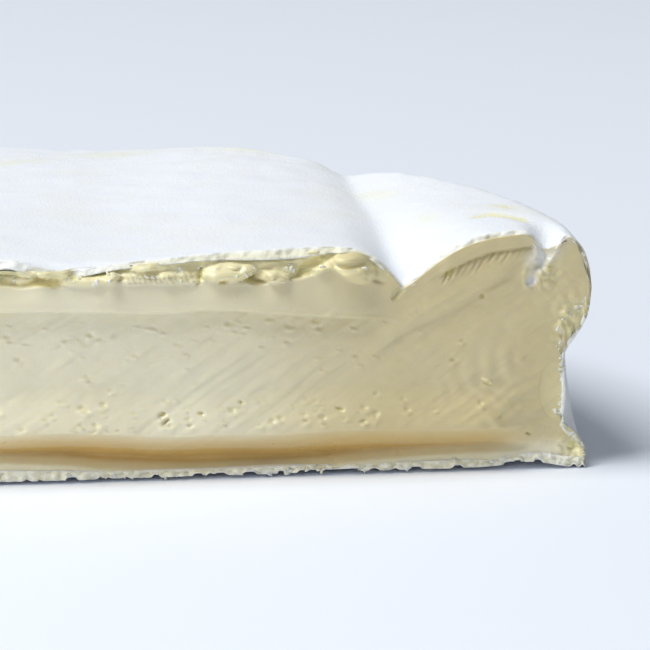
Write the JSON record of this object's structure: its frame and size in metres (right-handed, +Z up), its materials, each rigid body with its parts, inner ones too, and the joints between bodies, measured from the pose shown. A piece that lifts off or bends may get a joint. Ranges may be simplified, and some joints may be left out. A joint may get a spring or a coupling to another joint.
{
  "type": "double cream brie wedge",
  "caption": "Quarter wheel of ripe soft cheese: smooth cream paste on the cut faces, a white bloomy rind on top, base and round side, with a deep fold near the rim",
  "frame": {"origin": "on the base, under the middle of the wedge's box", "axes": "+Z up; the front cut face looks along -Y, the second cut face along -X, and the wheel's centre is at the -X, -Y corner"},
  "size_m": [0.1671, 0.1671, 0.0446],
  "materials": {
    "paste": "satin",
    "rind": "matte"
  },
  "bodies": {
    "root": {"brie_wedge": "paste"}
  },
  "joints": []
}
